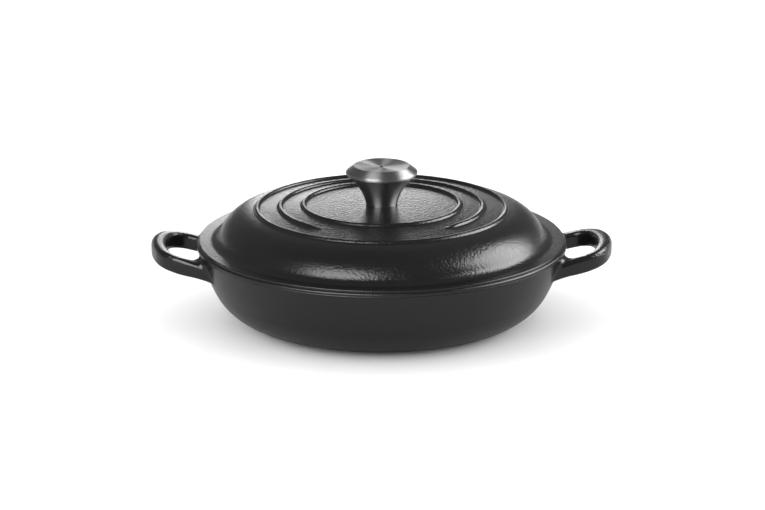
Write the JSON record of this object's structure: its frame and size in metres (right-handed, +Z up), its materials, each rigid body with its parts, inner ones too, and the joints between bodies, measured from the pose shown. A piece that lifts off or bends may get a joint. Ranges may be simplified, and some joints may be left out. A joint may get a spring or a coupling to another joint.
{
  "type": "braiser",
  "caption": "Shallow round enamelled cast-iron braiser with cast loop handles and a domed, ringed lid lifted by a flared steel knob.",
  "frame": {"origin": "centre of the pan's flat underside, on the surface it stands on", "axes": "+Z up, X through both handles, -Y the front, where the lid's middle ring is broken off"},
  "size_m": [0.3784, 0.3036, 0.127],
  "materials": {
    "pan_enamel": "satin black enamel on cast iron",
    "lid_enamel": "satin black enamel on cast iron",
    "cap_steel": "circular brushed stainless steel",
    "stem_steel": "polished stainless steel",
    "fastener_steel": "machined stainless steel"
  },
  "bodies": {
    "pan_body": {"pan": "pan_enamel"},
    "lid_body": {"lid": "lid_enamel", "knob_cap": "cap_steel", "knob_stem": "stem_steel", "knob_insert": "fastener_steel", "knob_screw": "fastener_steel", "screw_washer": "fastener_steel"}
  },
  "joints": [
    {"name": "lid_lift", "type": "slide", "parent": "pan_body", "child": "lid_body", "axis": [0, 0, 1], "range_m": [0, 0.15]}
  ]
}
